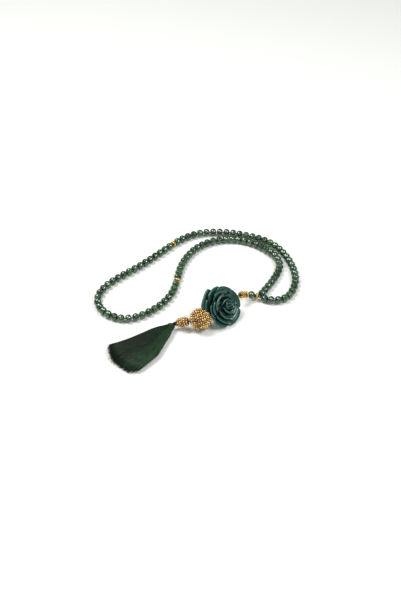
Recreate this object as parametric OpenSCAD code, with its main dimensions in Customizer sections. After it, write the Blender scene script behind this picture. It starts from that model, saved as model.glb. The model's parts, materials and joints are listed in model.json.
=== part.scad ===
// Misbaha: a loop of ninety-nine green beads in three runs of thirty-three,
// parted by two gold dividers, with a tail that carries a carved rose, a
// granulated gold ball, a beaded neck and a silk tassel.
// Lies on a table: +Z up, bottom at z = 0, origin under the middle.

/* [Beads] */
// diameter of a loop bead
bead_d = 6.0; // [5:0.1:6.2]
// length of a loop bead along the cord
bead_l = 4.7; // [3.8:0.1:4.8]
// bore through a loop bead
bead_bore = 1.4; // [1.2:0.1:1.8]
// length of a gold divider along the cord
divider_l = 2.6; // [1.6:0.1:3]
// diameter of a gold divider
divider_d = 5.4; // [4:0.1:6]

/* [Cords] */
// diameter of the stringing cord
cord_d = 0.8; // [0.5:0.1:1]
// diameter of the doubled cord in the tail
tail_cord_d = 1.2; // [0.8:0.1:1.4]
// bore through the pieces of the tail
tail_bore = 2.0; // [1.8:0.1:2.4]

/* [Tail] */
// diameter of the granulated ball
ball_d = 16.4; // [14:0.1:16.4]
// diameter of the small gold spacers
spacer_d = 5.2; // [4:0.1:5.4]
// diameter of the beaded neck at its widest
neck_d = 7.4; // [6:0.1:7.6]
// radius of the rose to the rim of its inner petals
rose_r = 14.6; // [13:0.1:15]

/* [Tassel] */
// diameter of the wound head of the tassel
head_d = 5.0; // [4.2:0.1:5.2]
// length of the silk threads below the head
skirt_l = 48; // [35:1:50]
// height of the spread threads in the middle
skirt_h = 7.2; // [5:0.1:8]

/* [Parts] */
// the part to draw

/* [Hidden] */
$fn = 48;

pearl_green = [0.10, 0.24, 0.17];
gold = [0.80, 0.58, 0.24];
teal = [0.06, 0.20, 0.18];
silk = [0.05, 0.16, 0.09];
cord_green = [0.12, 0.22, 0.15];

// ---- the lie of the loop on the table, from the tail and back to it
lie = [
    [46, -2], [51.5, -5], [58, -6], [65, -3.5], [70, 3], [73, 12], [74, 21], [73, 31], [70, 42], [65, 53],
    [58, 62], [48.5, 68.5], [38, 72.5], [27, 75.5], [16, 76.5], [6, 76], [-4, 72.5], [-12.5, 66.5],
    [-19.5, 59.5], [-27.5, 50.5], [-36, 41], [-45, 32], [-55, 23], [-64, 14], [-70, 4.5], [-72, -5],
    [-69.5, -14], [-63.5, -21], [-55, -25.5], [-46, -25.5], [-37, -21], [-28, -13.5], [-20.5, -3.5],
    [-16.5, 6], [-14.5, 16], [-13, 26], [-10.5, 37], [-5.5, 48], [1, 57], [11, 64], [22, 67],
    [33, 66.5], [43.5, 62.5], [52.5, 55.5], [60, 46.5], [63, 36.5], [61, 26], [56, 15], [50, 5]
];
middle = [1, 1.7];        // the middle of the whole lie
route = [for (p = lie) p - middle];
lie_z = bead_d / 2;
lead = 1.9;              // from the parting of the cord to the first bead
n_run = 33;
n_bead = 3 * n_run;
n_group = n_bead / 3;
// slack between pieces in the first, second and third run
slack_share = [0.54, 0.66, 0.24];

function cr(a, b, c, d, t) =
    0.5 * (2 * b + (c - a) * t + (2 * a - 5 * b + 4 * c - d) * t * t + (3 * b - a - 3 * c + d) * t * t * t);
n_route = len(route);
ctrl = concat([2 * route[0] - route[1]], route, [route[0], 2 * route[0] - route[n_route - 1]]);
fine = 8;
curve = [for (i = [1:n_route], j = [0:fine - 1]) cr(ctrl[i - 1], ctrl[i], ctrl[i + 1], ctrl[i + 2], j / fine),
    route[0]];
steps = [for (i = [1:len(curve) - 1]) norm(curve[i] - curve[i - 1])];
along = [for (i = 0, s = 0; i <= len(steps); s = s + (i < len(steps) ? steps[i] : 0), i = i + 1) s];
total = along[len(along) - 1];
xs = [for (i = [0:len(curve) - 1]) [along[i], curve[i][0]]];
ys = [for (i = [0:len(curve) - 1]) [along[i], curve[i][1]]];
function at(s) = [lookup(s, xs), lookup(s, ys), lie_z];

// pieces in order: beads with a divider after the 33rd and the 66th
div_a = n_run;
div_b = 2 * n_run + 1;
n_piece = n_bead + 2;
function piece_l(i) = i == div_a || i == div_b ? divider_l : bead_l;
function run_of(i) = i <= div_a ? 0 : i <= div_b ? 1 : 2;
shares = [for (i = [1:n_piece - 1]) slack_share[run_of(i)]];
function sum(v, i = 0) = i < len(v) ? v[i] + sum(v, i + 1) : 0;
slack = total - 2 * lead - n_bead * bead_l - 2 * divider_l;
unit = slack / sum(shares);
function slack_before(i) = i == 0 || i == n_piece ? 0 : unit * shares[i - 1];
starts = [for (i = 0, s = lead; i <= n_piece;
    s = s + (i < n_piece ? piece_l(i) + slack_before(i + 1) : 0), i = i + 1) s];
// where the cord bends: the middle of each gap between two pieces
bends = [for (i = [0:n_piece]) at(starts[i] - slack_before(i) / 2)];

// bead number b (from 1) as a piece number
function piece_of(b) = b <= n_run ? b - 1 : b <= 2 * n_run ? b : b + 1;
function two(n) = str(n < 10 ? "0" : "", n);
group_nodes = [for (g = [0:n_group - 1]) str("beads_", two(3 * g + 1), "_", two(3 * g + 3))];

// ---- the tail, from the parting of the cord to the tassel
spacer_at = [42.8, -3.5, 3.3];
tail_bead_at = [39.1, -3.7, 4.8];
ring_at = [35.6, -5.2, 6.4];
barrel_at = [32.2, -7.8, 8.4];
rose_at = [16.3, -23.5, 9.9];
rose_turn = 46;          // compass of the rose's bore in plan
rose_lean = 34;          // how far its face looks up
rose_dir = [cos(rose_turn), sin(rose_turn), 0];
rose_in = 15.2;          // from the rose's middle to the end of its bore, up the tail
rose_out = 9.4;          // and down the tail
ball_at = [2.2, -34.2, 8.25];
ball_turn = 195;
ball_dir = [cos(ball_turn), sin(ball_turn), 0];
neck_from = [-6.5, -36, 7.6];
neck_to = [-15.4, -34.5, 4.85];
tassel_at = [-16.1, -34.6, 4.3];
tassel_turn = 229;       // compass of the tassel in plan
tassel_dir = [cos(tassel_turn), sin(tassel_turn), 0];

// how far each ring of the neck lies inside the widest one, from the ball to the tassel
neck_in = [0.7, 0.1, 0, 0.3, 0.8, 1.36];

// ---- helpers
// puts a shape that stands on +Z at p, looking along d
module aim(p, d) {
    translate(p) rotate([0, acos(d[2] / norm(d)), atan2(d[1], d[0])]) children();
}

// a rounded ring of diameter d and length l, centred, with a hole h
module rounded(d, l, h) {
    rotate_extrude() difference() {
        translate([d / 2 - l / 2, 0]) circle(r = l / 2);
        translate([h / 2 - d, -d]) square([d, 2 * d]);
    }
}

// a tube of diameter d along the points p, closed at both ends
module tube(p, d) {
    n = 8;
    m = len(p);
    dir = [for (i = [0:m - 1]) let (v = p[min(i + 1, m - 1)] - p[max(i - 1, 0)]) v / norm(v)];
    ring = [for (i = [0:m - 1]) let (
        s = let (c = cross([0, 0, 1], dir[i])) c / norm(c), u = cross(dir[i], s))
        each [for (k = [0:n - 1]) p[i] + d / 2 * (cos(360 * k / n + 22.5) * s + sin(360 * k / n + 22.5) * u)]];
    wall = [for (i = [0:m - 2], k = [0:n - 1]) let (a = i * n + k, b = i * n + (k + 1) % n)
        each [[a, a + n, b], [b, a + n, b + n]]];
    polyhedron(ring, concat(wall, [[for (k = [0:n - 1]) k]], [[for (k = [n - 1:-1:0]) (m - 1) * n + k]]));
}

// points every few millimetres along a broken line
function strung(p, step) = [for (i = [0:len(p) - 2]) let (n = max(1, floor(norm(p[i + 1] - p[i]) / step)))
    each [for (k = [0:n - 1]) p[i] + (p[i + 1] - p[i]) * k / n], p[len(p) - 1]];

// ---- the loop
module bead(i) {
    a = bends[i];
    b = bends[i + 1];
    aim((a + b) / 2, b - a) rounded(bead_d, bead_l, bead_bore);
}

module bead_group(g) {
    color(pearl_green) for (b = [3 * g + 1:3 * g + 3]) bead(piece_of(b));
}

module divider(i) {
    a = bends[i];
    b = bends[i + 1];
    color(gold) aim((a + b) / 2, b - a) rounded(divider_d, divider_l, bead_bore);
}

module stringing_cord() {
    ends = [spacer_at + [1.5, 0.6, 0], spacer_at + [1.5, -0.6, 0]];
    color(cord_green) tube(concat([ends[1]], bends, [ends[0]]), cord_d);
}

// ---- the tail
module spacer(p, d) {
    color(gold) aim(p, d) rounded(spacer_d, 2, tail_bore);
}

module junction_spacer() spacer(spacer_at, spacer_at - tail_bead_at);

module tail_bead() {
    color(pearl_green) aim(tail_bead_at, spacer_at - ring_at) rounded(bead_d, bead_l, tail_bore);
}

module tail_ring() spacer(ring_at, tail_bead_at - barrel_at);

module tail_barrel() {
    color(gold) aim(barrel_at, ring_at - rose_at - rose_in * rose_dir) difference() {
        union() {
            for (z = [-1.5, 0, 1.5]) translate([0, 0, z]) rotate_extrude() translate([spacer_d / 2 - 0.8, 0])
                circle(r = 0.8);
            cylinder(r = spacer_d / 2 - 0.7, h = 4.4, center = true);
        }
        cylinder(d = tail_bore, h = 8, center = true);
    }
}

// the rose lies on its rim: x along its bore, y up its face, z out of its face
module rose_frame() {
    translate(rose_at) rotate([0, 0, rose_turn]) rotate([90 - rose_lean, 0, 0]) children();
}

module rose_bead() {
    k = rose_r / 14.6;
    color(teal) rose_frame() difference() {
        union() {
            // cup, with three rounds of petals stepping up to the bud
            rotate_extrude() polygon([[0, -6.2], [4.6, -6.2], [7.2, -4.8], [8.6, -2], [9.3, 0], [11, 2.6],
                [rose_r, 5.4], [rose_r - 0.5, 6.4], [12 * k, 5.8], [11.2, 7.8], [10.4, 8], [8.4, 7],
                [7.8, 9], [7, 9.2], [5, 8], [4.5, 9.8], [3.5, 10.2], [2.2, 9.2], [0, 9.6]]);
            // outer petals: turn, reach beyond the rim, height of the foot
            for (p = [[0, 0, 0.4], [72, 0, 0.4], [141, 2.6, 2.4], [216, 0, 1], [288, 0, 0.4]])
                rotate([0, 0, p[0]]) translate([7.8 * k + p[1], 0, p[2]])
                    cylinder(h = 6 - p[2], r1 = 4.8, r2 = 7.2);
            // sepal that the bore leaves through, up the tail
            translate([9, 0, -2.6]) cylinder(h = 5, r1 = 5.2, r2 = 6.2);
        }
        rotate([0, 90, 0]) cylinder(d = tail_bore, h = 60, center = true);
    }
}

module granulated_ball() {
    color(gold) aim(ball_at, ball_dir) difference() {
        sphere(d = ball_d);
        cylinder(d = tail_bore, h = 30, center = true);
        for (s = [0, 180]) rotate([s, 0, 0]) translate([0, 0, ball_d / 2 - 2])
            cylinder(h = 2.4, r1 = tail_bore / 2, r2 = 3.4);
    }
}

module beaded_neck() {
    l = norm(neck_to - neck_from);
    color(gold) aim(neck_from, neck_to - neck_from) difference() {
        union() {
            cylinder(h = l, r1 = neck_d / 2 - 1.8, r2 = neck_d / 2 - 2.2);
            for (i = [0:5]) translate([0, 0, 1.1 + i * (l - 2.2) / 5]) rotate_extrude()
                translate([neck_d / 2 - 1.1 - neck_in[i], 0]) circle(r = 1.1);
        }
        translate([0, 0, -1]) cylinder(d = tail_bore, h = l + 2);
    }
}

module tail_cord() {
    bore = rose_dir;
    color(cord_green) tube(strung([
        spacer_at + (spacer_at - tail_bead_at) * 0.22, spacer_at,
        (spacer_at + tail_bead_at) / 2, tail_bead_at, (tail_bead_at + ring_at) / 2, ring_at,
        (ring_at + barrel_at) / 2, barrel_at, rose_at + (rose_in + 1) * bore, rose_at,
        rose_at - (rose_out + 0.2) * bore, ball_at - (ball_d / 2 - 1.2) * ball_dir,
        ball_at + (ball_d / 2 - 0.4) * ball_dir, neck_from, neck_to + 0.08 * (neck_from - neck_to)], 4),
        tail_cord_d);
}

// ---- the tassel
module tassel_knot() {
    color(silk) translate((neck_to + tassel_at) / 2) sphere(d = 1.6);
}

module tassel_head() {
    color(silk) aim(tassel_at, tassel_dir) {
        translate([0, 0, head_from + head_d / 2]) sphere(d = head_d);
        translate([0, 0, head_from + head_d / 2])
            cylinder(d = head_d, h = skirt_from - 0.1 - head_from - head_d / 2);
    }
}

module tassel_binding() {
    color(silk) aim(tassel_at, tassel_dir) translate([0, 0, 3.8]) difference() {
        rotate_extrude() {
            for (z = [0.5, 1.5]) translate([head_d / 2 + 0.2, z]) circle(r = 0.5);
            square([head_d / 2 + 0.4, 2]);
        }
        translate([0, 0, -1]) cylinder(d = head_d, h = 4);
    }
}

head_from = 1.0;         // from the knot to the head
skirt_from = 6.0;        // from the knot to the first of the spread threads
// the threads lie fanned out: [part of the length, left edge, right edge, top]
skirt_rows = [[0, -3, 3, 1.0], [0.08, -6.4, 5.1, 1.0], [0.19, -8.8, 6.6, 1.0], [0.33, -10.8, 9.1, 0.98],
    [0.5, -13.4, 12.2, 0.95], [0.67, -16.6, 12.4, 0.9], [0.8, -20.2, 12.2, 0.82], [0.9, -15.6, 11.6, 0.72],
    [0.96, -11, 8.4, 0.6], [1, -5.6, 6.2, 0.5]];

module tassel_skirt() {
    n = 24;
    m = len(skirt_rows);
    pts = [for (r = skirt_rows) let (c = (r[1] + r[2]) / 2, w = (r[2] - r[1]) / 2,
            h = (r[0] < 0.15 ? head_d + 1 + (skirt_h - head_d - 1) * r[0] / 0.15 : skirt_h) * r[3],
            zc = r[0] < 0.15 ? tassel_at[2] + (0.2 + h / 2 - tassel_at[2]) * r[0] / 0.15 : 0.2 + h / 2)
        each [for (k = [0:n - 1]) let (a = 360 * k / n)
            [skirt_from + skirt_l * r[0], c + w * cos(a), zc + h / 2 * sin(a)]]];
    wall = [for (i = [0:m - 2], k = [0:n - 1]) let (a = i * n + k, b = i * n + (k + 1) % n)
        each [[a, a + n, b], [b, a + n, b + n]]];
    color(silk) translate([tassel_at[0], tassel_at[1], 0]) rotate([0, 0, tassel_turn])
        polyhedron(pts, concat(wall, [[for (k = [0:n - 1]) k]], [[for (k = [n - 1:-1:0]) (m - 1) * n + k]]));
}

for (g = [0:n_group - 1]) bead_group(g);
divider(div_a);  // divider_a
divider(div_b);  // divider_b
stringing_cord();
junction_spacer();
tail_bead();
tail_ring();
tail_barrel();
rose_bead();
granulated_ball();
beaded_neck();
tail_cord();
tassel_knot();
tassel_head();
tassel_binding();
tassel_skirt();
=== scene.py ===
"""Misbaha prayer beads: the looks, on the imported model's frame. Metres, +Z up."""

import json
import math
import random

import bmesh
import bpy
import numpy as np
from mathutils import Matrix, Vector

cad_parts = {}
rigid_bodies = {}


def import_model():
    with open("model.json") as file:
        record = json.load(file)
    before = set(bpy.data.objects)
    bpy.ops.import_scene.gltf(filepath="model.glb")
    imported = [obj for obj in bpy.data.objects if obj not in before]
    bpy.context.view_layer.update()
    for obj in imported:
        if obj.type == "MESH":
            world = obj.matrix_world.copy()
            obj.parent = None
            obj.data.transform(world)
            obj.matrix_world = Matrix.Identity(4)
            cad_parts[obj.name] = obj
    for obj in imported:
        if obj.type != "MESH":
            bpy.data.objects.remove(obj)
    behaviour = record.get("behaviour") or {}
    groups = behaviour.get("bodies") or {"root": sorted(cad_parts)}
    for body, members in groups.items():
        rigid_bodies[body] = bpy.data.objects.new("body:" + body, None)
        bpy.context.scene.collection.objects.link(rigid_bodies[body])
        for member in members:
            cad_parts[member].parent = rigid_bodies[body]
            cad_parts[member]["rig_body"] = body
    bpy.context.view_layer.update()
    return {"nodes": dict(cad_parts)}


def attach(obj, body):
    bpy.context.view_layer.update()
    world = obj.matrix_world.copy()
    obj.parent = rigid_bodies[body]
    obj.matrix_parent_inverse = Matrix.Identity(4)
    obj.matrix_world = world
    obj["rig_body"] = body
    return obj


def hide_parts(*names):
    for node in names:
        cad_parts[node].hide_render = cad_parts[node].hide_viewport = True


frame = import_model()
scene = bpy.context.scene
rng = random.Random(99)
MM = 0.001

# ---- camera, as the object is seen from its front
cam_data = bpy.data.cameras.new("camera")
cam_data.lens = 63.6
cam_data.sensor_width = 36
cam_data.clip_start, cam_data.clip_end = 0.01, 20
camera = bpy.data.objects.new("camera", cam_data)
camera.location = (0.00207, -0.59413, 0.5055)
camera.rotation_euler = (math.radians(49.4), 0, 0)
scene.collection.objects.link(camera)
scene.camera = camera


# ---- mesh helpers
def new_object(name, verts, faces, mat, smooth=True, tone=None):
    """A mesh object from points in millimetres."""
    me = bpy.data.meshes.new(name)
    me.from_pydata([tuple(float(c) * MM for c in v) for v in verts], [], faces)
    me.update()
    if smooth:
        me.polygons.foreach_set("use_smooth", [True] * len(me.polygons))
    me.materials.append(mat)
    if tone is not None:
        at = me.attributes.new("tone", "FLOAT", "POINT")
        at.data.foreach_set("value", np.asarray(tone, np.float32))
    ob = bpy.data.objects.new(name, me)
    scene.collection.objects.link(ob)
    return ob


class Build:
    """Collects many small shapes into one mesh, each with its own tone from 0 to 1."""

    def __init__(self):
        self.verts, self.faces, self.tone = [], [], []

    def add(self, verts, faces, tone=0.5):
        n = len(self.verts)
        self.verts.extend(verts)
        self.faces.extend([tuple(n + i for i in f) for f in faces])
        self.tone.extend([tone] * len(verts) if np.isscalar(tone) else list(tone))

    def put(self, shape, p, d, tone, spin=0.0):
        """Adds a shape that stands on +Z, put at p looking along d."""
        self.add([tuple(x) for x in placed(shape[0], p, d, spin)], shape[1], tone)

    def make(self, name, mat, smooth=True):
        return new_object(name, self.verts, self.faces, mat, smooth, self.tone)


def frame_of(d):
    """Two unit vectors across d."""
    d = np.asarray(d, float)
    d = d / np.linalg.norm(d)
    s = np.cross([0, 0, 1.0], d)
    if np.linalg.norm(s) < 1e-6:
        s = np.array([1.0, 0, 0])
    s = s / np.linalg.norm(s)
    return s, np.cross(d, s), d


def placed(verts, p, d, spin=0.0):
    """Points of a shape that stands on +Z, put at p looking along d."""
    s, u, d = frame_of(d)
    c, q = math.cos(spin), math.sin(spin)
    s, u = c * s + q * u, c * u - q * s
    v = np.asarray(verts, float)
    return np.asarray(p, float) + v[:, :1] * s + v[:, 1:2] * u + v[:, 2:3] * d


def lathe(profile, n, closed=True, wave=None):
    """A turned shape from (radius, height) pairs. closed joins the last pair to the first, as for a ring."""
    verts, faces, m = [], [], len(profile)
    for i, (r, z) in enumerate(profile):
        for k in range(n):
            a = 2 * math.pi * k / n
            rr = r if wave is None else r * (1 + wave(a, i))
            verts.append((rr * math.cos(a), rr * math.sin(a), z))
    for i in range(m if closed else m - 1):
        j = (i + 1) % m
        for k in range(n):
            h = (k + 1) % n
            faces.append((i * n + k, i * n + h, j * n + h, j * n + k))
    return verts, faces


def ring_profile(d, length, hole, n=12):
    """A rounded bead's section: its outer curve and its bore."""
    r = length / 2
    c = d / 2 - r
    pts = [(c + r * math.cos(a), r * math.sin(a)) for a in np.linspace(-1.25, 1.25, n)]
    z = pts[-1][1]
    pts = [(hole / 2, -z * 0.86), (hole / 2 + 0.25, -z * 1.0)] + pts
    pts += [(hole / 2 + 0.25, z * 1.0), (hole / 2, z * 0.86)]
    return pts


def tube(points, r, n=8, ends=True):
    """A tube along points, r a number or one for each point. ends rounds it off."""
    p = np.asarray(points, float)
    rs = np.full(len(p), r, float) if np.isscalar(r) else np.asarray(r, float)
    t = np.gradient(p, axis=0)
    t /= np.linalg.norm(t, axis=1)[:, None]
    if ends:
        p = np.vstack([p[0] - t[0] * rs[0] * 0.9, p[0] - t[0] * rs[0] * 0.55, p,
                       p[-1] + t[-1] * rs[-1] * 0.55, p[-1] + t[-1] * rs[-1] * 0.9])
        t = np.vstack([t[0], t[0], t, t[-1], t[-1]])
        rs = np.concatenate([[rs[0] * 0.4, rs[0] * 0.85], rs, [rs[-1] * 0.85, rs[-1] * 0.4]])
    verts, faces = [], []
    up = np.array([0, 0, 1.0])
    for q, d, w in zip(p, t, rs):
        s = np.cross(up, d)
        s = s / np.linalg.norm(s) if np.linalg.norm(s) > 1e-6 else np.array([1.0, 0, 0])
        u = np.cross(d, s)
        up = u
        for k in range(n):
            a = 2 * math.pi * k / n
            verts.append(tuple(q + w * (math.cos(a) * s + math.sin(a) * u)))
    m = len(p)
    for i in range(m - 1):
        for k in range(n):
            h = (k + 1) % n
            faces.append((i * n + k, (i + 1) * n + k, (i + 1) * n + h, i * n + h))
    faces.append(tuple(range(n)))
    faces.append(tuple((m - 1) * n + k for k in reversed(range(n))))
    return verts, faces


def catmull(points, per=6):
    """A smooth run of points through the given ones."""
    p = [np.asarray(q, float) for q in points]
    p = [2 * p[0] - p[1]] + p + [2 * p[-1] - p[-2]]
    out = []
    for i in range(1, len(p) - 2):
        a, b, c, d = p[i - 1], p[i], p[i + 1], p[i + 2]
        for j in range(per):
            t = j / per
            out.append(0.5 * (2 * b + (c - a) * t + (2 * a - 5 * b + 4 * c - d) * t * t
                              + (3 * b - a - 3 * c + d) * t ** 3))
    out.append(p[-2])
    return np.array(out)


# ---- materials
def material(name, **sockets):
    mat = bpy.data.materials.new(name)
    mat.use_nodes = True
    b = mat.node_tree.nodes["Principled BSDF"]
    for key, value in sockets.items():
        b.inputs[key.replace("_", " ")].default_value = value
    return mat, mat.node_tree, b


def node(tree, kind, **values):
    n = tree.nodes.new(kind)
    for key, value in values.items():
        if hasattr(n, key) and key not in n.inputs:
            setattr(n, key, value)
        else:
            n.inputs[key].default_value = value
    return n


def ramp(tree, fac, *stops):
    r = tree.nodes.new("ShaderNodeValToRGB")
    while len(r.color_ramp.elements) < len(stops):
        r.color_ramp.elements.new(0.5)
    for e, (pos, col) in zip(r.color_ramp.elements, stops):
        e.position = pos
        e.color = col if len(col) == 4 else (*col, 1)
    tree.links.new(fac, r.inputs["Fac"])
    return r.outputs["Color"]


def noise(tree, scale, detail=4.0):
    co = tree.nodes.new("ShaderNodeTexCoord").outputs["Object"]
    n = node(tree, "ShaderNodeTexNoise", Scale=scale, Detail=detail, Roughness=0.55)
    tree.links.new(co, n.inputs["Vector"])
    return n.outputs["Fac"]


def bump(tree, bsdf, height, distance, strength=1.0):
    b = node(tree, "ShaderNodeBump", Strength=strength, Distance=distance)
    tree.links.new(height, b.inputs["Height"])
    tree.links.new(b.outputs["Normal"], bsdf.inputs["Normal"])


def mixed(tree, a, b, fac, blend="MIX"):
    m = tree.nodes.new("ShaderNodeMix")
    m.data_type = "RGBA"
    m.blend_type = blend
    for sock, value in ((m.inputs["Factor"], fac), (m.inputs["A"], a), (m.inputs["B"], b)):
        if isinstance(value, bpy.types.NodeSocket):
            tree.links.new(value, sock)
        elif sock.name == "Factor":
            sock.default_value = value
        else:
            sock.default_value = (*value, 1) if len(value) == 3 else value
    return m.outputs["Result"]


def tone_of(tree):
    a = tree.nodes.new("ShaderNodeAttribute")
    a.attribute_name = "tone"
    return a.outputs["Fac"]


def pearl_green(name):
    """Dark green glass with a fired pearl lustre over it."""
    mat, t, b = material(name, Roughness=0.1, IOR=1.75, Coat_Weight=0.8, Coat_Roughness=0.04)
    body = ramp(t, tone_of(t), (0.0, (0.006, 0.018, 0.007)), (0.5, (0.015, 0.046, 0.020)),
                (1.0, (0.038, 0.096, 0.044)))
    cloud = ramp(t, noise(t, 420), (0.35, (0.5, 0.5, 0.5)), (0.65, (1.4, 1.4, 1.35)))
    t.links.new(mixed(t, body, cloud, 0.85, "MULTIPLY"), b.inputs["Base Color"])
    lustre = ramp(t, noise(t, 900, 2.0), (0.3, (0.0, 0.0, 0.0)), (0.72, (0.34, 0.34, 0.34)))
    t.links.new(lustre, b.inputs["Metallic"])
    b.inputs["Specular Tint"].default_value = (0.82, 1.0, 0.84, 1)
    b.inputs["Coat Tint"].default_value = (0.97, 1.0, 0.93, 1)
    rough = ramp(t, noise(t, 1500, 3.0), (0.3, (0.07, 0.07, 0.07)), (0.7, (0.20, 0.20, 0.20)))
    t.links.new(rough, b.inputs["Roughness"])
    bump(t, b, noise(t, 1300, 3.0), 0.00003, 0.35)
    return mat


def gold(name, base, dark, rough=0.24, grain=2600):
    """Plated brass with a fine grain; low tones darken the hollows between the grains as painted shade."""
    mat, t, b = material(name, Metallic=1.0, Roughness=rough)
    plate = ramp(t, noise(t, grain, 3.0), (0.32, dark), (0.62, base))
    # painted shade: cores and sleeves under the grains get low tones and go dark; higher tones vary each
    # grain at random
    hollow_shade_and_tone = ramp(t, tone_of(t), (0.0, (0.22, 0.15, 0.12)), (0.45, (0.75, 0.68, 0.62)),
                 (1.0, (1.2, 1.18, 1.1)))
    t.links.new(mixed(t, plate, hollow_shade_and_tone, 1.0, "MULTIPLY"), b.inputs["Base Color"])
    worn = ramp(t, noise(t, grain * 0.6, 4.0), (0.3, (rough * 0.7,) * 3), (0.75, (rough * 1.7,) * 3))
    t.links.new(worn, b.inputs["Roughness"])
    bump(t, b, noise(t, grain * 1.3, 2.0), 0.00003, 0.4)
    return mat


def teal_resin(name):
    """Moulded and hand-finished resin: painted shade darkens the folds and the bowl, and a painted highlight
    pales the petal rims.
    """
    mat, t, b = material(name, Roughness=0.3, Coat_Weight=0.35, Coat_Roughness=0.18, IOR=1.5)
    b.inputs["Specular Tint"].default_value = (0.60, 1.0, 0.90, 1)
    b.inputs["Coat Tint"].default_value = (0.72, 1.0, 0.93, 1)
    # low tones are painted shade in the folds; the top tones are a painted highlight on the rims
    fold_shade_rim_highlight = ramp(t, tone_of(t), (0.0, (0.0045, 0.0125, 0.0115)), (0.45, (0.009, 0.028, 0.024)),
                (0.8, (0.018, 0.054, 0.046)), (1.0, (0.040, 0.100, 0.088)))
    cloud = ramp(t, noise(t, 260, 5.0), (0.3, (0.62, 0.70, 0.72)), (0.7, (1.25, 1.25, 1.15)))
    t.links.new(mixed(t, fold_shade_rim_highlight, cloud, 0.85, "MULTIPLY"), b.inputs["Base Color"])
    rough = ramp(t, noise(t, 800, 4.0), (0.3, (0.20,) * 3), (0.7, (0.38,) * 3))
    t.links.new(rough, b.inputs["Roughness"])
    bump(t, b, noise(t, 520, 3.0), 0.00006, 0.4)
    return mat


def silk(name, dark, mid, light, sheen=0.5):
    """Rayon silk with fine twist along it: each thread has a random tone, with painted light and shade laid
    into the tone where the threads are built.
    """
    mat, t, b = material(name, Roughness=0.5, Sheen_Weight=sheen, Sheen_Roughness=0.4)
    b.inputs["Sheen Tint"].default_value = (0.45, 0.75, 0.55, 1)
    b.inputs["Specular IOR Level"].default_value = 0.2
    # the tone carries painted light and shade as well as each thread's random tone
    thread_tone_and_shade = ramp(t, tone_of(t), (0.0, dark), (0.5, mid), (1.0, light))
    patch = ramp(t, noise(t, 180, 4.0), (0.35, (0.55, 0.58, 0.55)), (0.68, (1.3, 1.3, 1.3)))
    t.links.new(mixed(t, thread_tone_and_shade, patch, 0.8, "MULTIPLY"), b.inputs["Base Color"])
    rough = ramp(t, noise(t, 2500, 2.0), (0.3, (0.38,) * 3), (0.7, (0.62,) * 3))
    t.links.new(rough, b.inputs["Roughness"])
    bump(t, b, noise(t, 5200, 2.0), 0.00004, 0.6)
    return mat


MAT_BEAD = pearl_green("pearl_green")
MAT_GOLD = gold("gold_plate", (0.86, 0.60, 0.24), (0.42, 0.22, 0.06))
MAT_BALL = gold("gold_granule", (0.87, 0.66, 0.33), (0.46, 0.25, 0.09))
MAT_ROSE = teal_resin("carved_teal")
MAT_SILK = silk("green_silk", (0.0008, 0.005, 0.0014), (0.004, 0.0155, 0.0046), (0.0175, 0.056, 0.0190), 0.06)
MAT_CORD = silk("nylon_cord", (0.008, 0.040, 0.020), (0.020, 0.070, 0.038), (0.045, 0.120, 0.070), 0.25)

# ---- the lie of the loop, as the CAD has it, in millimetres
LIE = [
    (46, -2), (51.5, -5), (58, -6), (65, -3.5), (70, 3), (73, 12), (74, 21), (73, 31), (70, 42), (65, 53),
    (58, 62), (48.5, 68.5), (38, 72.5), (27, 75.5), (16, 76.5), (6, 76), (-4, 72.5), (-12.5, 66.5),
    (-19.5, 59.5), (-27.5, 50.5), (-36, 41), (-45, 32), (-55, 23), (-64, 14), (-70, 4.5), (-72, -5),
    (-69.5, -14), (-63.5, -21), (-55, -25.5), (-46, -25.5), (-37, -21), (-28, -13.5), (-20.5, -3.5),
    (-16.5, 6), (-14.5, 16), (-13, 26), (-10.5, 37), (-5.5, 48), (1, 57), (11, 64), (22, 67),
    (33, 66.5), (43.5, 62.5), (52.5, 55.5), (60, 46.5), (63, 36.5), (61, 26), (56, 15), (50, 5),
]
BEAD_D, BEAD_L, BORE = 6.0, 4.7, 1.4
DIV_D, DIV_L = 5.4, 2.6
LEAD = 1.9  # from the junction to the first bead, along the cord
PIECES = 101  # beads and dividers
DIV_A, DIV_B = 33, 67  # the dividers' places among them
RING_D, RING_L, TAIL_BORE = 5.2, 2.0, 2.0
CORD_R, TAIL_CORD_R = 0.4, 0.6
BALL_D, NECK_D = 16.4, 7.4
route = [np.array(p, float) - (1, 1.7) for p in LIE]
ctrl = [2 * route[0] - route[1]] + route + [route[0], 2 * route[0] - route[-1]]
curve = []
for i in range(1, len(route) + 1):
    a, b, c, d = ctrl[i - 1:i + 3]
    for j in range(8):
        u = j / 8
        curve.append(0.5 * (2 * b + (c - a) * u + (2 * a - 5 * b + 4 * c - d) * u * u
                            + (3 * b - a - 3 * c + d) * u ** 3))
curve = np.array(curve + [route[0]])
along = np.concatenate([[0], np.cumsum(np.linalg.norm(np.diff(curve, axis=0), axis=1))])
sizes = [DIV_L if i in (DIV_A, DIV_B) else BEAD_L for i in range(PIECES)]
# how loosely each run is strung
shares = [(0.54 if i <= DIV_A else 0.66 if i <= DIV_B else 0.24) for i in range(1, PIECES)]
unit = (along[-1] - 2 * LEAD - sum(sizes)) / sum(shares)
gaps = [0] + [unit * q for q in shares] + [0]
starts = [LEAD]
for i in range(PIECES):
    starts.append(starts[-1] + sizes[i] + gaps[i + 1])
# the cord's points in the middle of the gaps, where it bends
bends = np.array([(np.interp(starts[i] - gaps[i] / 2, along, curve[:, 0]),
                   np.interp(starts[i] - gaps[i] / 2, along, curve[:, 1]), BEAD_D / 2)
                  for i in range(PIECES + 1)])


def body_of(node_name):
    return frame["nodes"][node_name]["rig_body"]


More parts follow.
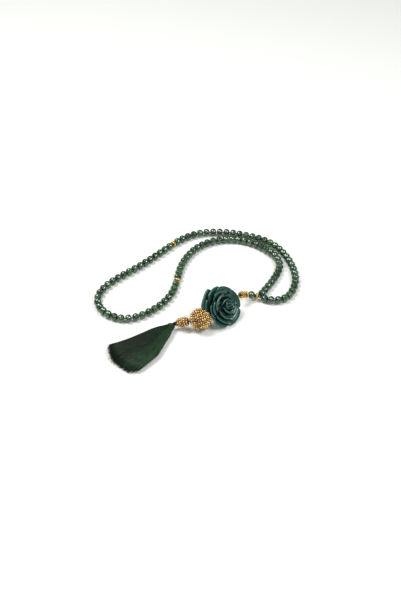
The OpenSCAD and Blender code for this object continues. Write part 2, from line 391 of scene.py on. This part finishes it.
# ---- one cut bead: a rondelle with staggered facets, softened at the edges
def cut_bead(d, length, bore, n=14):
    r, h = d / 2, length / 2
    rings = [(bore / 2, -h * 0.80, 0), (bore / 2 + 0.35, -h * 0.97, 0), (r * 0.62, -h * 0.93, 0.5),
             (r * 0.90, -h * 0.52, 0), (r * 1.0, 0, 0.5), (r * 0.90, h * 0.52, 0), (r * 0.62, h * 0.93, 0.5),
             (bore / 2 + 0.35, h * 0.97, 0), (bore / 2, h * 0.80, 0)]
    verts, faces = [], []
    for rr, z, off in rings:
        for k in range(n):
            a = 2 * math.pi * (k + off) / n
            verts.append((rr * math.cos(a), rr * math.sin(a), z))
    for i in range(len(rings)):
        j = (i + 1) % len(rings)
        oi, oj = rings[i][2], rings[j][2]
        for k in range(n):
            h2 = (k + 1) % n
            a, b, c, e = i * n + k, i * n + h2, j * n + h2, j * n + k
            if oi == oj:
                faces.append((a, b, c, e))
            elif oi < oj:
                faces += [(a, b, e), (b, c, e)]
            else:
                faces += [(a, c, e), (a, b, c)]
    return verts, faces


def rounded_bevel(ob, width, segments=2, angle=0.2):
    m = ob.modifiers.new("soft_edges", "BEVEL")
    m.width = width * MM
    m.segments = segments
    m.limit_method = "ANGLE"
    m.angle_limit = angle
    m.harden_normals = False


BEAD = cut_bead(BEAD_D, BEAD_L, BORE)


def piece_of(b):
    """The place of bead b, counted from 1, among the beads and dividers."""
    return b - 1 if b <= 33 else b if b <= 66 else b + 1


def ride(ob, body, slot, *nodes):
    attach(ob, body)
    if nodes:
        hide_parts(*nodes)
    return ob


for g in range(33):
    build = Build()
    for b in range(3 * g + 1, 3 * g + 4):
        i = piece_of(b)
        p, q = bends[i], bends[i + 1]
        build.put(BEAD, (p + q) / 2, q - p, spin=rng.uniform(0, 6.28), tone=rng.uniform(0.15, 0.95))
    name = f"beads_{3 * g + 1:02d}_{3 * g + 3:02d}"
    ob = build.make(f"cut_{name}", MAT_BEAD, smooth=False)
    rounded_bevel(ob, 0.12)
    ride(ob, body_of(name), "pearl_green", name)

# ---- the stringing cord: a run inside each group of beads, all meeting in the gaps where the strips fold
for g in range(33):
    first, last = piece_of(3 * g + 1), piece_of(3 * g + 3) + 1
    pts = [bends[i] for i in range(first, last + 1)]
    cord = Build()
    cord.add(*tube(pts, CORD_R), 0.5)
    ob = cord.make(f"cord_in_beads_{3 * g + 1:02d}_{3 * g + 3:02d}", MAT_CORD)
    ride(ob, body_of(f"beads_{3 * g + 1:02d}_{3 * g + 3:02d}"), "nylon_cord")

SPACER_AT = np.array([42.8, -3.5, 3.3])
TAIL_BEAD_AT = np.array([39.1, -3.7, 4.8])
RING_AT = np.array([35.6, -5.2, 6.4])
BARREL_AT = np.array([32.2, -7.8, 8.4])
ROSE_AT = np.array([16.3, -23.5, 9.9])
ROSE_TURN, ROSE_LEAN = math.radians(46), math.radians(34)
ROSE_DIR = np.array([math.cos(ROSE_TURN), math.sin(ROSE_TURN), 0])
BALL_AT = np.array([2.2, -34.2, 8.25])
BALL_DIR = np.array([math.cos(math.radians(195)), math.sin(math.radians(195)), 0])
NECK_FROM, NECK_TO = np.array([-6.5, -36, 7.6]), np.array([-15.4, -34.5, 4.85])
TASSEL_AT = np.array([-16.1, -34.6, 4.3])
TASSEL_TURN = math.radians(229)
TASSEL_DIR = np.array([math.cos(TASSEL_TURN), math.sin(TASSEL_TURN), 0])
TASSEL_SIDE = np.array([-math.sin(TASSEL_TURN), math.cos(TASSEL_TURN), 0])

# the cord's lengths through the dividers, and its two ends, from the last beads into the junction ring
for name, i in (("a", DIV_A), ("b", DIV_B)):
    cord = Build()
    cord.add(*tube([bends[i], bends[i + 1]], CORD_R), 0.5)
    ride(cord.make(f"cord_in_divider_{name}", MAT_CORD), "strip_11", "nylon_cord")
ends = Build()
for side, last, tone in ((-1, bends[0], 0.4), (1, bends[-1], 0.6)):
    run = [SPACER_AT + (0.2, 0.3 * side, 0), SPACER_AT + (1.5, 0.6 * side, 0), last]
    ends.add(*tube(catmull(run, 4), CORD_R), tone)
ob = ends.make("cord_ends", MAT_CORD)
ride(ob, "strip_01", "nylon_cord", "stringing_cord")


# ---- gold seed beads
def seed(d, length, hole, n=10, m=8):
    """A tiny rounded ring."""
    r, rr = length / 2, (d - hole) / 4
    c = hole / 2 + rr
    prof = [(c + rr * math.cos(a), r * math.sin(a)) for a in np.linspace(0, 2 * math.pi, m, endpoint=False)]
    return lathe(prof, n)


SEED = seed(1.75, 1.2, 0.55)
SMALL = seed(1.25, 1.0, 0.4, 9, 7)


def gold_ring(build, p, d, dia, length, hole, balls, ball_d):
    """A gold ring with a row of granules soldered round its middle."""
    # the ring under the granules takes a lower tone, painted shade between them
    build.put(lathe(ring_profile(dia - ball_d * 0.7, length, hole, 10), 36), p, d, 0.35)
    s, u, _ = frame_of(d)
    for k in range(balls):
        a = 2 * math.pi * k / balls
        out = math.cos(a) * s + math.sin(a) * u
        c = np.asarray(p) + out * (dia / 2 - ball_d / 2)
        build.add([tuple(c + ball_d / 2 * np.array(x)) for x in GRAIN[0]], GRAIN[1], rng.uniform(0.5, 1))


def ico(level):
    bm = bmesh.new()
    bmesh.ops.create_icosphere(bm, subdivisions=level, radius=1)
    verts = [tuple(v.co) for v in bm.verts]
    faces = [tuple(v.index for v in f.verts) for f in bm.faces]
    bm.free()
    return verts, faces


GRAIN = ico(2)

for name, i in (("divider_a", DIV_A), ("divider_b", DIV_B)):
    build = Build()
    p, q = bends[i], bends[i + 1]
    gold_ring(build, (p + q) / 2, q - p, DIV_D, DIV_L, BORE, 15, 1.15)
    ride(build.make(f"gold_{name}", MAT_GOLD), body_of(name), "gold_beadwork", name)

# ---- the tail, from the parting of the cord to the rose
to_loop = SPACER_AT - TAIL_BEAD_AT
build = Build()
gold_ring(build, SPACER_AT, to_loop, RING_D, RING_L, TAIL_BORE, 15, 1.0)
ride(build.make("junction_ring", MAT_GOLD), "tail", "gold_beadwork", "junction_spacer")

build = Build()
build.put(cut_bead(BEAD_D, BEAD_L, TAIL_BORE), TAIL_BEAD_AT, SPACER_AT - RING_AT, 0.6, spin=0.2)
ob = build.make("cut_tail_bead", MAT_BEAD, smooth=False)
rounded_bevel(ob, 0.12)
ride(ob, "tail_green_bead", "pearl_green", "tail_bead")

build = Build()
gold_ring(build, RING_AT, TAIL_BEAD_AT - BARREL_AT, RING_D, RING_L, TAIL_BORE, 15, 1.0)
ride(build.make("tail_gold_ring_piece", MAT_GOLD), "tail_gold_ring", "gold_beadwork", "tail_ring")

# the barrel: three rings of seed beads over a sleeve
barrel_dir = RING_AT - ROSE_AT - 15.2 * ROSE_DIR
BARREL_SEEDS = 10
build = Build()
for z, spin in ((-1.5, 0), (0, 0.5), (1.5, 0)):
    c = BARREL_AT + z * barrel_dir / np.linalg.norm(barrel_dir)
    s, u, w = frame_of(barrel_dir)
    for k in range(BARREL_SEEDS):
        a = 2 * math.pi * (k + spin) / BARREL_SEEDS
        out = math.cos(a) * s + math.sin(a) * u
        build.put(SEED, c + out * 1.75, np.cross(w, out), rng.uniform(0.3, 1))
# the sleeve's low tone is painted shade between the seed beads
sleeve = lathe([(1.05, -2.1), (1.6, -2.1), (1.75, -1), (1.75, 1), (1.6, 2.1), (1.05, 2.1)], 24)
build.put(sleeve, BARREL_AT, barrel_dir, 0.1)
ride(build.make("gold_barrel", MAT_GOLD), "tail_gold_barrel", "gold_beadwork", "tail_barrel")


# ---- the tail cord, doubled and twisted
def twisted(points, r, strands, turn_mm, tone):
    """Strands laid round each other along a smooth line."""
    p = catmull(points, 10)
    t = np.gradient(p, axis=0)
    t /= np.linalg.norm(t, axis=1)[:, None]
    s_along = np.concatenate([[0], np.cumsum(np.linalg.norm(np.diff(p, axis=0), axis=1))])
    out = Build()
    for k in range(strands):
        pts = []
        for q, d, s in zip(p, t, s_along):
            a, b, _ = frame_of(d)
            w = 2 * math.pi * (s / turn_mm + k / strands)
            pts.append(q + r * 0.5 * (math.cos(w) * a + math.sin(w) * b))
        out.add(*tube(pts, r * 0.52, 7), tone + 0.25 * k)
    return out


build = twisted([SPACER_AT + 0.22 * to_loop, SPACER_AT, TAIL_BEAD_AT, RING_AT, BARREL_AT,
                 ROSE_AT + 16.2 * ROSE_DIR, ROSE_AT + 9 * ROSE_DIR, ROSE_AT, ROSE_AT - 9.6 * ROSE_DIR,
                 BALL_AT - 7 * BALL_DIR, BALL_AT, BALL_AT + 7.8 * BALL_DIR, NECK_FROM,
                 (NECK_FROM + NECK_TO) / 2, NECK_TO + 0.08 * (NECK_FROM - NECK_TO)],
                TAIL_CORD_R, strands=2, turn_mm=2.4, tone=0.3)
ride(build.make("doubled_tail_cord", MAT_CORD), "tail", "nylon_cord", "tail_cord")

# ---- the rose, carved as overlapping petals: x along its bore, y up its face, z out of its face
rose_matrix = (Matrix.Translation(Vector(ROSE_AT)) @ Matrix.Rotation(ROSE_TURN, 4, "Z")
               @ Matrix.Rotation(math.pi / 2 - ROSE_LEAN, 4, "X"))


def ease(x):
    """From 0 to 1, levelling off at both."""
    x = min(1.0, max(0.0, x))
    return x * x * (3 - 2 * x)


def petal(build, turn, width, r0, r1, z0, z1, centre, tuck=0.0, curl=0.8, wave=0.0, dip=0.6, thick=0.9,
          nu=26, nv=14, base=0.06):
    """One petal: a cupped sheet from its foot at r0, z0 to a rolled lip at r1, z1, wrapped round centre."""
    outer, tones = [], []
    ph = rng.uniform(0, 6.28)
    for iu in range(nu + 1):
        u = 2 * iu / nu - 1
        for iv in range(nv + 1):
            v = iv / nv
            lip = max(0.0, (v - 0.72) / 0.28)
            up = v * (1 - 0.42 * ease((abs(u) - 0.55) / 0.45) * v)  # the corners are rounded off
            a = turn + width * u * (0.86 + 0.14 * v)
            rolled = lip * lip * (1 - u ** 4)
            rr = r0 + (r1 - r0) * (up ** 1.15) + curl * rolled * (0.6 + 0.4 * math.cos(1.4 * u + ph))
            rr += tuck * u + wave * lip * math.sin(3.1 * u + ph)
            z = z0 + (z1 - z0) * up - dip * rolled - 0.35 * wave * lip * math.sin(4.3 * u + ph)
            cx, cy = centre
            k = up ** 0.8
            outer.append((cx * k + rr * math.cos(a), cy * k + rr * math.sin(a), z))
            # painted shade at the petal's foot, rising to a painted highlight along its rolled lip
            tones.append(base + (0.56 - 0.6 * base) * v ** 3 + 0.42 * lip ** 3 * (1 - base))
    outer = np.array(outer).reshape(nu + 1, nv + 1, 3)
    du = np.gradient(outer, axis=0)
    dv = np.gradient(outer, axis=1)
    nrm = np.cross(du, dv)
    nrm /= np.linalg.norm(nrm, axis=2)[:, :, None] + 1e-9
    half = thick * (1.25 - 0.45 * np.linspace(0, 1, nv + 1))[None, :, None] / 2  # thinner at the lip
    front, back = outer + nrm * half, outer - nrm * half
    n = (nu + 1) * (nv + 1)
    verts = [tuple(x) for x in front.reshape(-1, 3)] + [tuple(x) for x in back.reshape(-1, 3)]
    faces = []

    def at(i, j, side):
        return side * n + i * (nv + 1) + j

    for i in range(nu):
        for j in range(nv):
            faces.append((at(i, j, 0), at(i + 1, j, 0), at(i + 1, j + 1, 0), at(i, j + 1, 0)))
            faces.append((at(i, j, 1), at(i, j + 1, 1), at(i + 1, j + 1, 1), at(i + 1, j, 1)))
    for i in range(nu):
        faces.append((at(i, nv, 0), at(i + 1, nv, 0), at(i + 1, nv, 1), at(i, nv, 1)))
        faces.append((at(i, 0, 0), at(i, 0, 1), at(i + 1, 0, 1), at(i + 1, 0, 0)))
    for j in range(nv):
        faces.append((at(0, j, 0), at(0, j + 1, 0), at(0, j + 1, 1), at(0, j, 1)))
        faces.append((at(nu, j, 0), at(nu, j, 1), at(nu, j + 1, 1), at(nu, j + 1, 0)))
    build.add(verts, faces, tones + tones)


rose = Build()
# a solid heart closes the flower from below, its low tone painted shade
core = [(0, -6.2), (2.5, -6.2), (4.6, -6.1), (6.4, -5.4), (7.4, -4.4), (8.3, -2.2), (9.0, -0.4), (9.8, 1.2),
        (9.6, 2.2), (8.0, 2.6), (5.0, 2.8), (0, 3.0)]
heart = lathe(core, 48, closed=False, wave=lambda a, i: 0.03 * math.sin(5 * a) + 0.015 * math.sin(9 * a + i))
rose.add(*heart, 0.05)
# the sheath of the bore, up the tail
petal(rose, 0.0, 0.42, 7.0, 13.6, -4.4, 2.2, (0, 0), 0.0, 0.6, 0.2, 0.6, 1.6)
# outer petals, broad and smooth: turn, half width, reach, foot, lip
OUTER_PETALS = ((4, 0.86, 14.3, -1.4, 5.8), (60, 0.74, 14.3, -1.4, 6.0), (226, 0.70, 14.2, -1.8, 5.2),
                (294, 0.86, 14.2, -1.6, 5.4), (100, 0.62, 15.6, -2.6, 4.4))
for turn, wide, reach, low, lip in OUTER_PETALS:
    petal(rose, math.radians(turn), wide, 6.6, reach, low, lip, (0, 0), 0.35, 0.5, 0.3, 1.2, 1.5, base=0.42)
# the lobe behind them, and the folds that close the side beside it, kept dark with low base tones as painted
# shade
petal(rose, math.radians(128), 0.66, 6.4, 18.2, -3.4, 2.6, (0, 0), 0.9, 0.3, 0.5, 0.9, 1.6, base=0.12)
petal(rose, math.radians(152), 0.60, 6.4, 15.0, -3.0, 2.8, (0, 0), 0.5, 0.3, 0.3, 0.8, 1.6, base=0.08)
petal(rose, math.radians(172), 0.66, 6.4, 11.6, -1.8, 4.6, (0, 0), 0.2, 0.4, 0.2, 0.8, 1.5, base=0.16)
petal(rose, math.radians(202), 0.60, 6.4, 12.8, -1.8, 4.4, (0, 0), 0.2, 0.4, 0.2, 0.8, 1.5, base=0.22)
# the second round, strongest on the near side: turn, half width, reach, lip
SECOND_PETALS = ((86, 0.78, 11.9, 6.6), (158, 0.66, 10.6, 6.6), (226, 0.86, 11.2, 6.2),
                 (300, 0.74, 11.8, 5.9))
for turn, wide, reach, lip in SECOND_PETALS:
    petal(rose, math.radians(turn), wide, 5.8, reach, -0.4, lip, (0.6, 0), 0.45, 0.8, 0.3, 0.9, 1.5,
          base=0.24)
# the third round is the bowl's thick rolled rim
RIM_PETALS = ((20, 0.80, 8.6, 6.9), (124, 1.06, 9.4, 7.9), (228, 1.06, 8.3, 7.6), (318, 0.8, 8.4, 6.8))
for turn, wide, reach, lip in RIM_PETALS:
    petal(rose, math.radians(turn), wide, 5.2, reach, 1.0, lip, (1.4, 0.2), 0.5, 1.0, 0.2, 0.9, 1.7,
          base=0.10)
# folds low in the bowl round the bud, darkest of all as painted shade
for turn, lip in ((100, 6.6), (225, 6.2), (345, 6.6)):
    petal(rose, math.radians(turn), 1.0, 3.0, 4.9, 1.6, lip, (3.6, -0.4), 0.8, 0.3, 0.2, 0.4, 1.2, base=0.0)
petal(rose, math.radians(170), 1.5, 1.7, 2.9, 2.0, 6.8, (4.2, 0.2), 0.6, 0.2, 0.1, 0.2, 1.1, base=0.05)
petal(rose, math.radians(350), 1.5, 1.5, 2.4, 2.0, 6.9, (4.3, 0.3), 0.5, 0.2, 0.1, 0.2, 1.0, base=0.05)
petal(rose, 0.9, 2.4, 0.4, 0.9, 2.2, 6.8, (4.3, 0.3), 0.3, 0.1, 0, 0.1, 0.8, base=0.05)
ob = rose.make("rose_petals", MAT_ROSE)
pts = np.array([v.co for v in ob.data.vertices]) * 1000
world = np.array([(rose_matrix @ Vector(p))[:] for p in pts]) * MM
world[:, 2] = np.maximum(world[:, 2], 0.35 * MM)  # it rests on its rim
ob.data.vertices.foreach_set("co", world.astype(np.float32).ravel())
sub = ob.modifiers.new("round_over", "SUBSURF")
sub.levels = sub.render_levels = 1
ride(ob, "rose", "carved_teal", "rose_bead")

# ---- the granulated ball: grains and seed beads over a core, in rings round its bore
ball = Build()
# the core takes tone 0: painted shade in the gaps between the grains
core = lathe([(1.7, -6.6), (2.4, -6.8), (4.2, -5.6), (6.0, -3.6), (6.9, -1.2), (6.9, 1.2), (6.0, 3.6),
              (4.2, 5.6), (2.4, 6.8), (1.7, 6.6)], 40)
ball.put(core, BALL_AT, BALL_DIR, 0.0)
s, u, w = frame_of(BALL_DIR)
GRAIN_R = BALL_D / 2 - 0.78  # from the ball's centre to the grains'
GRAIN_PITCH = 1.72
BALL_RINGS = 13
for i in range(BALL_RINGS):
    lat = math.radians(-73 + 146 * i / (BALL_RINGS - 1))
    n = max(5, int(2 * math.pi * GRAIN_R * math.cos(lat) / GRAIN_PITCH))
    off = rng.uniform(0, 1)
    for k in range(n):
        a = 2 * math.pi * (k + off) / n + rng.uniform(-0.02, 0.02)
        out = math.cos(lat) * (math.cos(a) * s + math.sin(a) * u) + math.sin(lat) * w
        side = np.cross(w, out)
        side /= np.linalg.norm(side)
        tilt = side + 0.35 * rng.uniform(-1, 1) * np.cross(out, side) + 0.25 * rng.uniform(-1, 1) * out
        c = BALL_AT + out * (GRAIN_R + rng.uniform(-0.45, 0.0))
        if rng.random() < 0.5:
            ball.add([tuple(c + 0.8 * np.array(x)) for x in GRAIN[0]], GRAIN[1], rng.uniform(0.2, 1.0))
        else:
            ball.put(SEED, c, tilt, rng.uniform(0.2, 1.0))
ride(ball.make("ball_of_seed_beads", MAT_BALL), "ball", "gold_beadwork", "granulated_ball")

# ---- the beaded neck: six rings of seed beads, tapering towards the tassel
neck = Build()
axis = NECK_TO - NECK_FROM
length = np.linalg.norm(axis)
s, u, w = frame_of(axis)
# the sleeve's low tone is painted shade between the seed beads
sleeve = lathe([(1.02, 0.1), (1.8, 0.2), (2.2, 3.0), (2.0, 6.0), (1.2, length - 0.2),
                (1.02, length - 0.1)], 28)
neck.put(sleeve, NECK_FROM, axis, 0.05)
NECK_INSETS = (0.7, 0.1, 0, 0.2, 0.55, 1.1)
NECK_PITCH = 1.36
last = len(NECK_INSETS) - 1
for i, inset in enumerate(NECK_INSETS):
    r = NECK_D / 2 - inset - 0.72
    c = NECK_FROM + w * (0.85 + i * (length - 1.75) / last)
    n = max(7, int(2 * math.pi * r / NECK_PITCH))
    bead = SEED if i < last else SMALL
    for k in range(n):
        a = 2 * math.pi * (k + 0.5 * (i % 2)) / n
        out = math.cos(a) * s + math.sin(a) * u
        side = np.cross(w, out) + 0.3 * rng.uniform(-1, 1) * w
        neck.put(bead, c + out * (r - 0.1 * rng.random()), side, rng.uniform(0.2, 1.0))
ride(neck.make("neck_of_seed_beads", MAT_BALL), "neck", "gold_beadwork", "beaded_neck")

# ---- the tassel
HEAD_FROM, HEAD_D, SKIRT_FROM, SKIRT_L, SKIRT_H = 1.0, 5.0, 6.0, 48.0, 7.2
knot = Build()
stem = TASSEL_AT + TASSEL_DIR * (HEAD_FROM + 0.5) - NECK_TO
for k in range(4):
    spin = rng.uniform(-0.25, 0.25)
    c = NECK_TO + stem * (0.08 + 0.26 * k)
    r = 1.0 + 0.12 * (k % 2)
    a1, a2, a3 = frame_of(stem)
    ring = [c + r * (math.cos(w) * a1 + math.sin(w) * a2) + 0.25 * math.sin(w + spin) * a3
            for w in np.linspace(0, 2 * math.pi, 23)]
    knot.add(*tube(ring, 0.40, 7), 0.10 + 0.12 * k)
knot.add(*tube([NECK_TO, NECK_TO + stem * 0.5, NECK_TO + stem], 0.8, 10), 0.1)
ride(knot.make("tassel_loop_knot", MAT_SILK), "knot", "green_silk", "tassel_knot")


def on_tassel(x, y, z):
    """x along the tassel from its knot, y across it, z up from the table."""
    return TASSEL_AT * (1, 1, 0) + TASSEL_DIR * x + TASSEL_SIDE * y + np.array([0, 0, z])


def round_tassel(x, r, a):
    """A point at x along the tassel, r from its axis, at the angle a round it."""
    return on_tassel(x, r * math.cos(a), TASSEL_AT[2] + r * math.sin(a))


# threads drawn over the head from the knot to the binding
head = Build()
hr = HEAD_D / 2
HEAD_THREADS, HEAD_THREAD_R = 76, 0.15
for k in range(HEAD_THREADS):
    a = 2 * math.pi * k / HEAD_THREADS + rng.uniform(-0.03, 0.03)
    r = hr - HEAD_THREAD_R + rng.uniform(-0.16, 0.0)
    pts = []
    for q in (0.125, 0.25, 0.375, 0.5, 0.625, 0.75, 0.875, 0.875):
        rise = q * math.pi / 2
        pts.append(round_tassel(HEAD_FROM + hr - r * math.cos(rise), r * math.sin(rise), a))
    pts.append(round_tassel(HEAD_FROM + hr + 1.6, r, a))
    pts.append(round_tassel(SKIRT_FROM + 0.3, hr - 0.1, a))
    head.add(*tube(pts, HEAD_THREAD_R, 4), rng.uniform(0.1, 0.9))
# the core under the head threads is dark, painted shade between them
core = lathe([(0.05, HEAD_FROM + 0.35), (1.2, HEAD_FROM + 0.7), (2.0, HEAD_FROM + 1.5),
              (hr - 0.25, HEAD_FROM + hr), (hr - 0.25, SKIRT_FROM + 0.2), (0.05, SKIRT_FROM + 0.3)],
             32, closed=False)
head.put(core, TASSEL_AT, TASSEL_DIR, 0.05)
ride(head.make("tassel_head_threads", MAT_SILK), "tassel", "green_silk", "tassel_head")

# the binding: one thread wound round and round under the head
wound = Build()
WINDS, WIND_STEPS = 6, 24
steps = WINDS * WIND_STEPS
pts = [round_tassel(3.95 + 1.7 * k / steps, hr + 0.28, 2 * math.pi * k / WIND_STEPS)
       for k in range(steps + 1)]
wound.add(*tube(pts, 0.19, 6), 0.75)
# the band under the winding is darker, painted shade between the turns
band = lathe([(hr - 0.1, 3.85), (hr + 0.2, 3.9), (hr + 0.25, 5.6), (hr - 0.1, 5.75)], 32)
wound.put(band, TASSEL_AT, TASSEL_DIR, 0.15)
ride(wound.make("tassel_wound_binding", MAT_SILK), "tassel", "green_silk", "tassel_binding")

# the fan: [part of length, left edge, right edge, top]
ROWS = np.array([[0, -3, 3, 1.0], [0.08, -6.4, 5.1, 1.0], [0.19, -8.8, 6.6, 1.0], [0.33, -10.8, 9.1, 0.98],
                 [0.5, -13.4, 12.2, 0.95], [0.67, -16.6, 12.4, 0.9], [0.8, -20.2, 12.2, 0.82],
                 [0.9, -15.6, 11.6, 0.72], [0.96, -11, 8.4, 0.6], [1, -5.6, 6.2, 0.5]])


def row(t, k):
    """Column k of the fan's outline at the part t of its length."""
    return float(np.interp(t, ROWS[:, 0], ROWS[:, k]))


def fan_edge(t):
    """Where the outermost threads run, left and right, before they are trimmed."""
    left = row(t, 1) if t < 0.8 else -20.2 - 20.0 * (t - 0.8)
    right = row(t, 2) if t < 0.67 else 12.4
    return left, right


def fan_height(t):
    """How high the bundle stands at the part t of its length."""
    return (HEAD_D + 1 + (SKIRT_H - HEAD_D - 1) * min(t, 0.15) / 0.15) * row(min(t, 1), 3)


def skirt_point(t, share, height):
    """share runs from -1, left, to 1, right; height from -1, on the table, to 1."""
    left, right = fan_edge(t)
    y = (left + right) / 2 + (right - left) / 2 * share
    h = fan_height(t)
    zc = TASSEL_AT[2] + (0.2 + h / 2 - TASSEL_AT[2]) * t / 0.15 if t < 0.15 else 0.2 + h / 2
    z = zc + h / 2 * height * math.sqrt(max(0.0, 1 - share * share))
    return on_tassel(SKIRT_FROM + SKIRT_L * t, y, z)


def thread_end(share):
    """The part of the length at which a thread meets the trimmed outline."""
    for t in np.linspace(1, 0.5, 101):
        left, right = fan_edge(t)
        y = (left + right) / 2 + (right - left) / 2 * share
        if row(t, 1) <= y <= row(t, 2):
            return float(t)
    return 0.6


skirt = Build()
N_THREAD = 1500
for k in range(N_THREAD):
    share = rng.uniform(-1, 1)
    share = math.copysign(abs(share) ** 0.85, share) * 0.985
    top = rng.random()
    if top < 0.62:
        height = 0.97 - 0.28 * rng.random() ** 2
    elif top < 0.85:
        height = rng.uniform(-0.6, 0.7)
    else:
        height = -0.92
    end = min(1.02, thread_end(share) + rng.gauss(-0.012, 0.026))
    w0, w1, ph = rng.gauss(0, 0.016), rng.gauss(0, 0.020), rng.uniform(0, 6.28)
    lift = rng.gauss(0, 0.04)
    pts = []
    for q in np.linspace(0, 1, 9):
        t = end * q
        sh = max(-0.995, min(0.995, share + w0 * q * math.sin(3 * q + ph) + w1 * q * q))
        hh = max(-0.97, min(0.985, height + lift * math.sin(4 * q + ph)))
        pts.append(skirt_point(t, sh, hh))
    # painted light and shade: threads are lighter towards the right side and on top of the bundle, darker
    # lower down, around a random tone
    tone = 0.12 + 0.50 * ease((share + 0.15) / 0.9) + rng.gauss(0, 0.16) + (0.1 if height > 0.8 else -0.12)
    skirt.add(*tube(pts, 0.17, 4, ends=False), min(1, max(0, tone)))
# the mass of threads under them, kept dark as painted shade
cols, rws = 28, 14
verts, faces = [], []
for i in range(rws):
    q = i / (rws - 1)
    for k in range(cols):
        a = 2 * math.pi * k / cols
        share = math.cos(a)
        t = q * thread_end(share * 0.97) * 0.94
        p = skirt_point(t, share * 0.95, 0)
        verts.append(tuple(p + np.array([0, 0, fan_height(t) / 2 * 0.86 * math.sin(a)])))
for i in range(rws - 1):
    for k in range(cols):
        h = (k + 1) % cols
        faces.append((i * cols + k, i * cols + h, (i + 1) * cols + h, (i + 1) * cols + k))
faces += [tuple(reversed(range(cols))), tuple((rws - 1) * cols + k for k in range(cols))]
skirt.add(verts, faces, 0.08)
ride(skirt.make("tassel_skirt_threads", MAT_SILK), "tassel", "green_silk", "tassel_skirt")

# ---- floor and light
floor_mat, _, b = material("pale_floor", Roughness=0.85)
b.inputs["Base Color"].default_value = (0.80, 0.81, 0.78, 1)
bpy.ops.mesh.primitive_plane_add(size=6, location=(0, 0, -0.0001))
floor = bpy.context.object
floor.name = "floor"
floor.data.materials.append(floor_mat)


def area(name, loc, size, watts, colour=(1, 1, 1), aim=(0, 0, 0)):
    data = bpy.data.lights.new(name, "AREA")
    data.shape = "RECTANGLE"
    data.size, data.size_y = size
    data.energy = watts
    data.color = colour
    ob = bpy.data.objects.new(name, data)
    ob.location = loc
    ob.rotation_euler = (Vector(aim) - Vector(loc)).to_track_quat("-Z", "Y").to_euler()
    scene.collection.objects.link(ob)


area("key", (-0.45, 0.15, 0.95), (0.5, 0.5), 9.5, (1.0, 0.99, 0.96))
area("fill", (0.55, -0.25, 0.85), (0.45, 0.45), 6.5, (0.96, 0.98, 1.0))
area("front", (-0.1, -0.9, 0.7), (0.5, 0.3), 1.6)
world = bpy.data.worlds.new("world")
world.use_nodes = True
world.node_tree.nodes["Background"].inputs["Color"].default_value = (0.93, 0.96, 0.98, 1)
world.node_tree.nodes["Background"].inputs["Strength"].default_value = 0.32
scene.world = world
scene.view_settings.view_transform = "Standard"
